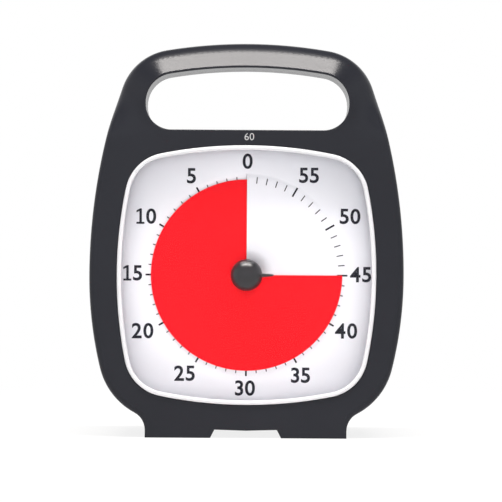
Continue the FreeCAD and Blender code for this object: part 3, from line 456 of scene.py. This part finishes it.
class Front:
    """The front surface of the housing as a depth over x and z."""

    def __init__(self):
        self.rim = Loop(silhouette())
        self.hole = Loop(grip_hole())
        self.opening = Loop(lens_opening())

    def depth(self, point):
        rim, hole = self.rim.distance(point), self.hole.distance(point)
        grip = smooth(point.y, *HANDLE_BLEND)
        radius = FOOT_ROUND + (FRONT_ROUND - FOOT_ROUND) * smooth(point.y, *FOOT_BLEND)
        depth = (1 - grip) * roll(rim, radius)
        if grip > 0:
            share = max(0.0, hole - HANDLE_LIP) / max(rim + hole - HANDLE_LIP, TINY)
            depth += grip * handle_depth(HANDLE_SPAN * (1 - share))
        return depth + roll(hole, LIP_ROUND) + roll(self.opening.distance(point), LIP_ROUND)

    def normal(self, point):
        """Outward normal from the slope of the depth."""
        aside, above = Vector((SLOPE_STEP, 0)), Vector((0, SLOPE_STEP))
        right = self.depth(point + aside) - self.depth(point - aside)
        up = self.depth(point + above) - self.depth(point - above)
        apart = 2 * SLOPE_STEP
        return Vector((right / apart, -1.0, up / apart)).normalized()


def rings(front):
    """Points of the front inside its outlines, closest together where it bends."""
    points = []
    sets = ((front.rim, RIM_STEPS, -1), (front.hole, HOLE_STEPS, 1),
            (front.opening, OPENING_STEPS, 1))
    for loop, steps, side in sets:
        for number, step in enumerate(steps):
            every = 1 if step < THIN_OUT_FROM else 2
            for index in range(number % 2, len(loop.points), every):
                point = loop.points[index] + loop.normals[index] * step * side
                others = [other for other in (front.rim, front.hole, front.opening)
                          if other is not loop]
                if loop.distance(point) < step - RING_SLACK:
                    continue
                if min(other.distance(point) for other in others) < max(step, LEAST_GAP):
                    continue
                if not front.rim.holds(point) or front.hole.holds(point):
                    continue
                if front.opening.holds(point):
                    continue
                points.append(point)
    return points


def front_of_housing(materials):
    """The frame round the lens and the handle's front, rolled over at the silhouette."""
    front = Front()
    loops = (front.rim, front.hole, front.opening)
    flat, edges = [], []
    for loop in loops:
        first, count = len(flat), len(loop.points)
        flat += loop.points
        edges += [(first + k, first + (k + 1) % count) for k in range(count)]
    on_edge = len(flat)
    flat += rings(front)
    placed, _, triangles, _, _, _ = geometry.delaunay_2d_cdt(flat, edges, [], 0, MERGE)
    points, normals, faces = [], [], []
    for point in placed:
        points.append((point.x * MM, FRONT_Y + front.depth(point) * MM, point.y * MM))
        normals.append(front.normal(point))
    for triangle in triangles:
        if max(triangle) < on_edge:
            middle = (placed[triangle[0]] + placed[triangle[1]] + placed[triangle[2]]) / 3
            if not front.rim.holds(middle):
                continue
            if front.hole.holds(middle) or front.opening.holds(middle):
                continue
        faces.append(tuple(triangle))
    for loop, back, side in ((front.rim, BEZEL_BACK, 1), (front.hole, BEZEL_BACK, -1),
                             (front.opening, OPENING_BACK, -1)):
        first, count = len(points), len(loop.points)
        for point, normal in zip(loop.points, loop.normals):
            edge = FRONT_Y + front.depth(point) * MM
            for depth in (edge, FRONT_Y + back * MM):
                points.append((point.x * MM, depth, point.y * MM))
                normals.append(Vector((normal.x, 0, normal.y)) * side)
        for k in range(count):
            a, b = first + 2 * k, first + 2 * ((k + 1) % count)
            faces.append((a, b, b + 1, a + 1) if side > 0 else (a, a + 1, b + 1, b))
    mesh = mesh_from("housing_front", points, faces)
    mesh.normals_split_custom_set_from_vertices(normals)
    obj = new_object("housing_front", mesh, "root", materials["housing"])
    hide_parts("front_bezel")


# The lens

LENS_HOLE = 7.0 * MM
# The tray's section: distance in from the opening and depth; None is the hole for the knob
LENS_SECTION = (
    (0.1, 6.0), (0.1, 0.1), (0.25, -0.4), (0.6, -0.63), (1.0, -0.7), (1.5, -0.7), (1.9, -0.5),
    (2.1, 0.0), (None, 0.0), (None, 1.5), (0.9, 1.5), (0.9, 6.0),
)
PANE_PARTS = (7, 8, 9)
LENS_SHARP = math.radians(40)


def lens(materials):
    """Clear tray: a rounded rim, a flat pane and a hole for the knob."""
    steps = LENS_STEPS_ROUND
    points, faces, panes = [], [], []
    for step in range(steps):
        angle = 2 * math.pi * step / steps
        for inset, depth in LENS_SECTION:
            reach = LENS_HOLE if inset is None else squircle_radius(angle, -inset * MM)
            points.append((AXIS_X - reach * math.sin(angle), FRONT_Y + depth * MM,
                           AXIS_Z + reach * math.cos(angle)))
    count = len(LENS_SECTION)
    for step in range(steps):
        for k in range(count):
            here, ahead = step * count, (step + 1) % steps * count
            after = (k + 1) % count
            faces.append((here + k, ahead + k, ahead + after, here + after))
            panes.append(k in PANE_PARTS)
    mesh = mesh_from("lens_tray", points, faces)
    # The rim and walls take the pale painted highlight; the pane stays clear
    obj = new_object("lens_tray", mesh, "root", materials["lens_edge"])
    mesh.materials.append(materials["lens_clear"])
    for polygon, pane in zip(mesh.polygons, panes):
        polygon.material_index = 1 if pane else 0
    mesh.set_sharp_from_angle(angle=LENS_SHARP)
    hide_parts("lens")


# The knob

DOME_RADIUS = 7.1
DOME_TIP, DOME_BASE = -7.0, -1.0
STEM_RADIUS, STEM_BACK = 4.5, 3.4
POINTER_ROOT, POINTER_TIP = 5.5, 12.0
POINTER_ROOT_HALF, POINTER_TIP_HALF = 1.05, 0.45
POINTER_FRONT, POINTER_BACK = -3.6, -1.4
POINTER_FALL = 0.7
POINTER_EDGE = 0.35
POINTER_STATIONS = 7
POINTER_CORNERS = 6
DOME_STEPS = 18
DOME_LIP = 0.25
KNOB_SHARP = math.radians(35)


def knob_section():
    """The knob's half section as radius and depth, from the tip of the dome to the stem."""
    section = []
    for k in range(1, DOME_STEPS + 1):
        turn = math.pi / 2 * k / DOME_STEPS
        height = (DOME_BASE - DOME_TIP) * math.cos(turn)
        section.append((DOME_RADIUS * math.sin(turn), DOME_BASE - height))
    section.append((DOME_RADIUS - DOME_LIP, DOME_BASE + DOME_LIP / 2))
    section.append((STEM_RADIUS, DOME_BASE + DOME_LIP / 2))
    section.append((STEM_RADIUS, STEM_BACK))
    return section


def knob(materials):
    """Round dome on a stem, with a tapered pointer."""
    steps = KNOB_STEPS_ROUND
    section = knob_section()
    count = len(section)
    points, faces = [(AXIS_X, FRONT_Y + DOME_TIP * MM, AXIS_Z)], []
    for step in range(steps):
        angle = 2 * math.pi * step / steps
        for radius, depth in section:
            points.append((AXIS_X + radius * MM * math.cos(angle), FRONT_Y + depth * MM,
                           AXIS_Z + radius * MM * math.sin(angle)))
    for step in range(steps):
        here, ahead = 1 + step * count, 1 + (step + 1) % steps * count
        faces.append((0, here, ahead))
        for k in range(count - 1):
            faces.append((here + k, here + k + 1, ahead + k + 1, ahead + k))
    faces.append(tuple(1 + step * count + count - 1 for step in reversed(range(steps))))
    first = len(points)
    stations, corners, edge = POINTER_STATIONS, POINTER_CORNERS, POINTER_EDGE
    for k in range(stations):
        share = k / (stations - 1)
        along = POINTER_ROOT + (POINTER_TIP - POINTER_ROOT) * share
        half = POINTER_ROOT_HALF + (POINTER_TIP_HALF - POINTER_ROOT_HALF) * share
        front = POINTER_FRONT + POINTER_FALL * share
        ring = ((half, POINTER_BACK), (half, front + edge), (half - edge, front),
                (edge - half, front), (-half, front + edge), (-half, POINTER_BACK))
        points += [(AXIS_X + along * MM, FRONT_Y + depth * MM, AXIS_Z + across * MM)
                   for across, depth in ring]
    for k in range(stations - 1):
        for j in range(corners):
            here, after = first + k * corners + j, first + k * corners + (j + 1) % corners
            faces.append((here, here + corners, after + corners, after))
    faces.append(tuple(first + j for j in range(corners)))
    faces.append(tuple(first + (stations - 1) * corners + j for j in reversed(range(corners))))
    mesh = mesh_from("knob_cap", points, faces)
    mesh.set_sharp_from_angle(angle=KNOB_SHARP)
    obj = new_object("knob_cap", mesh, "knob", materials["knob_dark"])
    shell = bmesh.new()
    shell.from_mesh(mesh)
    bmesh.ops.recalc_face_normals(shell, faces=shell.faces)
    shell.to_mesh(mesh)
    shell.free()
    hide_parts("knob")


# The dial

# Rings of points on the twisted middle and on the ramp outside it
TWIST_RINGS = 6
RAMP_RINGS = 5
WELD = 0.001 * MM


def squircle_radius(angle, outset):
    """Distance from the dial's centre to the opening's outline grown by outset."""
    half = OPENING_HALF + outset
    side = OPENING_SIDE_RADIUS
    corner = OPENING_CORNER_RADIUS + outset
    bow = half - side
    reach = side - corner
    centre = (bow + math.sqrt(2 * reach**2 - bow**2)) / 2
    turn = angle % (math.pi / 2)
    turn = min(turn, math.pi / 2 - turn)
    # The side's arc ends on the ray from its centre through the corner's centre
    end = math.atan2(centre * side / reach, bow + (centre - bow) * side / reach)
    if turn <= end:
        return bow * math.cos(turn) + math.sqrt(side**2 - (bow * math.sin(turn)) ** 2)
    along = centre * (math.cos(turn) + math.sin(turn))
    return along + math.sqrt(along**2 - 2 * centre**2 + corner**2)


def dial_lift(radius, angle):
    """How far the dial's surface stands behind its flat plane at an angle from 0, turning left."""
    if radius >= FLAT_FROM:
        return 0.0
    twist = SLIT_PITCH * (0.5 - angle / (2 * math.pi))
    if radius <= TWIST_TO:
        return twist
    share = (FLAT_FROM - radius) / (FLAT_FROM - TWIST_TO)
    return twist * share * share * (3 - 2 * share)


def on_dial(radius, angle, lift=0.0):
    """A point on the dial's front; the angle runs anticlockwise from 0 at the top."""
    depth = DIAL_Y - DIAL_THICK / 2 - lift + dial_lift(radius, angle)
    return AXIS_X - radius * math.sin(angle), depth, AXIS_Z + radius * math.cos(angle)


def dial(materials):
    """White dial, slit at 0, whose middle twists so that the disc can pass through."""
    steps = DIAL_STEPS_ROUND
    middle, ramp = TWIST_TO - DIAL_HOLE, FLAT_FROM - TWIST_TO
    radii = [DIAL_HOLE + middle * k / TWIST_RINGS for k in range(TWIST_RINGS + 1)]
    radii += [TWIST_TO + ramp * k / RAMP_RINGS for k in range(1, RAMP_RINGS + 1)]
    points, faces = [], []
    for step in range(steps + 1):
        angle = 2 * math.pi * step / steps
        for radius in radii:
            points.append(on_dial(radius, angle))
        points.append(on_dial(squircle_radius(angle, DIAL_MARGIN), angle))
    row = len(radii) + 1
    for step in range(steps):
        for k in range(row - 1):
            a = step * row + k
            faces.append((a, a + 1, a + row + 1, a + row))
    mesh = mesh_from("dial_face", points, faces)
    obj = new_object("dial_face", mesh, "root", materials["dial_white"])
    weld = bmesh.new()
    weld.from_mesh(mesh)
    bmesh.ops.remove_doubles(weld, verts=weld.verts, dist=WELD)
    bmesh.ops.recalc_face_normals(weld, faces=weld.faces)
    weld.to_mesh(mesh)
    weld.free()
    solid = obj.modifiers.new("thickness", "SOLIDIFY")
    solid.thickness = DIAL_THICK
    solid.offset = -1.0
    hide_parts("dial_plate")


INK_LIFT = 0.06 * MM
MAJOR_INNER, MAJOR_OUTER, MAJOR_WIDTH = 40.9 * MM, 45.5 * MM, 0.8 * MM
MINOR_INNER, MINOR_OUTER, MINOR_WIDTH = 41.4 * MM, 44.4 * MM, 0.45 * MM
MINUTES = 60
MAJOR_EVERY = 5
TICK_PARTS = 8


def ticks(materials):
    """A long mark every five minutes and a short one every minute."""
    points, faces = [], []
    for minute in range(1, MINUTES):
        major = minute % MAJOR_EVERY == 0
        inner = MAJOR_INNER if major else MINOR_INNER
        outer = MAJOR_OUTER if major else MINOR_OUTER
        half = (MAJOR_WIDTH if major else MINOR_WIDTH) / 2
        angle = 2 * math.pi * minute / MINUTES
        for k in range(TICK_PARTS):
            first = len(points)
            for radius in (inner + (outer - inner) * k / TICK_PARTS,
                           inner + (outer - inner) * (k + 1) / TICK_PARTS):
                for side in (-1, 1):
                    turn = angle + side * half / radius
                    points.append(on_dial(radius, turn % (2 * math.pi), INK_LIFT))
            faces.append((first, first + 1, first + 3, first + 2))
    mesh = mesh_from("dial_ticks", points, faces, smooth=False)
    new_object("dial_ticks", mesh, "root", materials["ink"])


NUMERAL_HEIGHT = 6.95 * MM
# How much the strokes are thickened on each side
STROKE_GROWTH = 0.02
# Each number's middle, to the right of the axis and above it
NUMERAL_PLACES = {
    0: (0.2, 51.3),
    5: (-25.1, 44.6),
    10: (-45.3, 26.3),
    15: (-51.3, 0.7),
    20: (-46.7, -25.3),
    25: (-27.7, -44.4),
    30: (-0.4, -50.9),
    35: (24.6, -45.0),
    40: (45.0, -24.9),
    45: (51.4, 0.5),
    50: (46.5, 26.7),
    55: (27.9, 45.1),
}
RANGE_HEIGHT = 3.2 * MM
RANGE_PLACE = (0.9 * MM, 62.0 * MM)
# A figure 1 with a flag and a foot, one unit high
ONE = (
    (0.0, 0.0), (0.52, 0.0), (0.52, 0.125), (0.35, 0.125), (0.35, 1.0), (0.22, 1.0),
    (0.0, 0.87), (0.0, 0.74), (0.19, 0.83), (0.19, 0.125), (0.0, 0.125),
)
FIGURE_GAP = 0.11
FIGURE_CURVE_STEPS = 8


def figure(digit, growth):
    """One figure as flat points and faces, one unit high, and its width."""
    if digit == "1":
        points = [Vector((x, y, 0)) for x, y in ONE]
        faces = [tuple(face) for face in geometry.tessellate_polygon([points])]
        return points, faces, max(point.x for point in points)
    curve = bpy.data.curves.new("figure", "FONT")
    curve.body = digit
    curve.offset = growth
    curve.resolution_u = FIGURE_CURVE_STEPS
    holder = bpy.data.objects.new("figure", curve)
    bpy.context.scene.collection.objects.link(holder)
    bpy.context.view_layer.update()
    flat = bpy.data.meshes.new_from_object(holder)
    bpy.data.objects.remove(holder)
    low = Vector([min(v.co[k] for v in flat.vertices) for k in range(2)]).to_3d()
    high = Vector([max(v.co[k] for v in flat.vertices) for k in range(2)]).to_3d()
    height = high.y - low.y
    points = [(vertex.co - low) / height for vertex in flat.vertices]
    faces = [tuple(polygon.vertices) for polygon in flat.polygons]
    bpy.data.meshes.remove(flat)
    return points, faces, (high.x - low.x) / height


def numeral(text, x, z, depth, height, growth, name):
    """Flat figures whose middle is at x, z on a plane facing the front."""
    points, faces, reach = [], [], 0.0
    for digit in text:
        own_points, own_faces, width = figure(digit, growth)
        first = len(points)
        points += [point + Vector((reach, 0, 0)) for point in own_points]
        faces += [tuple(first + k for k in face) for face in own_faces]
        reach += width + FIGURE_GAP
    middle = Vector(((reach - FIGURE_GAP) / 2, 0.5, 0))
    placed = []
    for point in points:
        off = (point - middle) * height
        placed.append((x + off.x, depth, z + off.y))
    return mesh_from(name, placed, faces, smooth=False)


def numerals(materials):
    """Plain numbers 0 to 55, anticlockwise on the dial, and the range 60 on the housing."""
    depth = DIAL_Y - DIAL_THICK / 2 - INK_LIFT
    for minute, (right, up) in NUMERAL_PLACES.items():
        name = f"numeral_{minute}"
        mesh = numeral(str(minute), AXIS_X + right * MM, AXIS_Z + up * MM, depth,
                       NUMERAL_HEIGHT, STROKE_GROWTH, name)
        new_object(name, mesh, "root", materials["ink"])
    right, up = RANGE_PLACE
    mesh = numeral("60", AXIS_X + right, AXIS_Z + up, FRONT_Y - INK_LIFT,
                   RANGE_HEIGHT, 0.0, "range_60")
    new_object("range_60", mesh, "root", materials["pale_ink"])


# Light, floor and camera

# Distances from the middle at which the floor starts to fade and is plain white
WHITE_FROM, WHITE_AT = 0.12, 0.42
FLOOR_GLOW = 0.84
FLOOR_HALF = 2.0
PAPER = (0.9, 0.9, 0.9, 1)
PAPER_ROUGHNESS = 0.9


def seen_directly(nodes, links):
    """1 for rays from the camera, off shiny surfaces and through clear ones, else 0."""
    path = nodes.new("ShaderNodeLightPath")
    glossy = nodes.new("ShaderNodeMath")
    glossy.operation = "MAXIMUM"
    links.new(path.outputs["Is Camera Ray"], glossy.inputs[0])
    links.new(path.outputs["Is Glossy Ray"], glossy.inputs[1])
    either = nodes.new("ShaderNodeMath")
    either.operation = "MAXIMUM"
    links.new(glossy.outputs["Value"], either.inputs[0])
    links.new(path.outputs["Is Transmission Ray"], either.inputs[1])
    return either.outputs["Value"]


def backdrop_material(name):
    """White paper: it keeps the shadow near the feet and runs out to plain white further off."""
    material = bpy.data.materials.new(name)
    material.use_nodes = True
    nodes, links = material.node_tree.nodes, material.node_tree.links
    shader = nodes["Principled BSDF"]
    shader.inputs["Base Color"].default_value = PAPER
    shader.inputs["Roughness"].default_value = PAPER_ROUGHNESS
    shader.inputs["Specular IOR Level"].default_value = 0.0
    white = nodes.new("ShaderNodeEmission")
    white.inputs["Color"].default_value = WHITE
    white.inputs["Strength"].default_value = 1.0
    place = nodes.new("ShaderNodeTexCoord")
    away = nodes.new("ShaderNodeVectorMath")
    away.operation = "LENGTH"
    links.new(place.outputs["Object"], away.inputs[0])
    fade = nodes.new("ShaderNodeMapRange")
    fade.inputs["From Min"].default_value = WHITE_FROM
    fade.inputs["From Max"].default_value = WHITE_AT
    fade.inputs["To Min"].default_value = FLOOR_GLOW
    fade.inputs["To Max"].default_value = 1.0
    links.new(away.outputs["Value"], fade.inputs["Value"])
    share = nodes.new("ShaderNodeMath")
    share.operation = "MULTIPLY"
    links.new(fade.outputs["Result"], share.inputs[0])
    links.new(seen_directly(nodes, links), share.inputs[1])
    mix = nodes.new("ShaderNodeMixShader")
    links.new(share.outputs["Value"], mix.inputs["Fac"])
    links.new(shader.outputs["BSDF"], mix.inputs[1])
    links.new(white.outputs["Emission"], mix.inputs[2])
    links.new(mix.outputs["Shader"], nodes["Material Output"].inputs["Surface"])
    return material


def floor():
    half = FLOOR_HALF
    points = [(-half, -half, 0), (half, -half, 0), (half, half, 0), (-half, half, 0)]
    mesh = mesh_from("floor", points, [(0, 1, 2, 3)], smooth=False)
    obj = bpy.data.objects.new("floor", mesh)
    bpy.context.scene.collection.objects.link(obj)
    mesh.materials.append(backdrop_material("floor"))


def area_light(name, location, target, size, power):
    lamp = bpy.data.lights.new(name, "AREA")
    lamp.shape = "RECTANGLE"
    lamp.size, lamp.size_y = size
    lamp.energy = power
    obj = bpy.data.objects.new(name, lamp)
    obj.location = location
    aim = Vector(target) - Vector(location)
    obj.rotation_euler = aim.to_track_quat("-Z", "Y").to_euler()
    bpy.context.scene.collection.objects.link(obj)
    return obj


SURROUND = (0.36, 0.36, 0.36, 1)
CEILING = 0.12
BACKDROP_TOP = (0.5, 0.72)
SOFTBOX_PLACE, SOFTBOX_AIM = (0.0, -0.26, 1.08), (0, 0, 0.16)
SOFTBOX_SIZE, SOFTBOX_POWER = (0.9, 0.13), 19.0
SOFTBOX_COLOUR = (1.0, 0.96, 0.93)
PANEL_PLACE, PANEL_AIM = (0.0, -1.7, 0.25), (0, 0, 0.08)
PANEL_SIZE, PANEL_POWER = (1.8, 1.8), 13.0


def backdrop_height(nodes, links):
    """1 for the camera and up to the backdrop's top, and the dim ceiling's level above it."""
    place = nodes.new("ShaderNodeTexCoord")
    apart = nodes.new("ShaderNodeSeparateXYZ")
    links.new(place.outputs["Generated"], apart.inputs["Vector"])
    fall = nodes.new("ShaderNodeMapRange")
    fall.inputs["From Min"].default_value = BACKDROP_TOP[0]
    fall.inputs["From Max"].default_value = BACKDROP_TOP[1]
    fall.inputs["To Min"].default_value = 1.0
    fall.inputs["To Max"].default_value = CEILING
    links.new(apart.outputs["Z"], fall.inputs["Value"])
    path = nodes.new("ShaderNodeLightPath")
    level = nodes.new("ShaderNodeMath")
    level.operation = "MAXIMUM"
    links.new(fall.outputs["Result"], level.inputs[0])
    links.new(path.outputs["Is Camera Ray"], level.inputs[1])
    return level.outputs["Value"]


def lights():
    world = bpy.data.worlds.new("studio")
    bpy.context.scene.world = world
    world.use_nodes = True
    nodes, links = world.node_tree.nodes, world.node_tree.links
    surround = nodes["Background"]
    surround.inputs["Color"].default_value = SURROUND
    white = nodes.new("ShaderNodeBackground")
    white.inputs["Color"].default_value = WHITE
    links.new(backdrop_height(nodes, links), white.inputs["Strength"])
    mix = nodes.new("ShaderNodeMixShader")
    links.new(seen_directly(nodes, links), mix.inputs["Fac"])
    links.new(surround.outputs["Background"], mix.inputs[1])
    links.new(white.outputs["Background"], mix.inputs[2])
    links.new(mix.outputs["Shader"], nodes["World Output"].inputs["Surface"])
    softbox = area_light("softbox", SOFTBOX_PLACE, SOFTBOX_AIM, SOFTBOX_SIZE, SOFTBOX_POWER)
    softbox.data.color = SOFTBOX_COLOUR
    panel = area_light("front_panel", PANEL_PLACE, PANEL_AIM, PANEL_SIZE, PANEL_POWER)
    panel.visible_glossy = False


CAMERA_AWAY = 0.95
CAMERA_HEIGHT = 72.6 * MM
FOCAL_LENGTH = 152.2
PICTURE_WIDTH = 502
SHIFT_RIGHT = 4.5 / PICTURE_WIDTH
SHIFT_UP = 25.1 / PICTURE_WIDTH
ROLL = math.radians(-0.35)
SENSOR_WIDTH = 36.0
VIEW_LIMIT = 10.0


def camera():
    data = bpy.data.cameras.new("camera")
    data.lens = FOCAL_LENGTH
    data.sensor_width = SENSOR_WIDTH
    data.shift_x = SHIFT_RIGHT
    data.shift_y = SHIFT_UP
    data.clip_end = VIEW_LIMIT
    obj = bpy.data.objects.new("camera", data)
    obj.location = (0.0, FRONT_Y - CAMERA_AWAY, CAMERA_HEIGHT)
    obj.rotation_euler = (math.radians(90), ROLL, 0)
    bpy.context.scene.collection.objects.link(obj)
    bpy.context.scene.camera = obj


bpy.context.scene.view_settings.view_transform = "Standard"
MATERIALS = make_materials()
dress_nodes(MATERIALS)
front_of_housing(MATERIALS)
lens(MATERIALS)
knob(MATERIALS)
dial(MATERIALS)
ticks(MATERIALS)
numerals(MATERIALS)
floor()
lights()
camera()
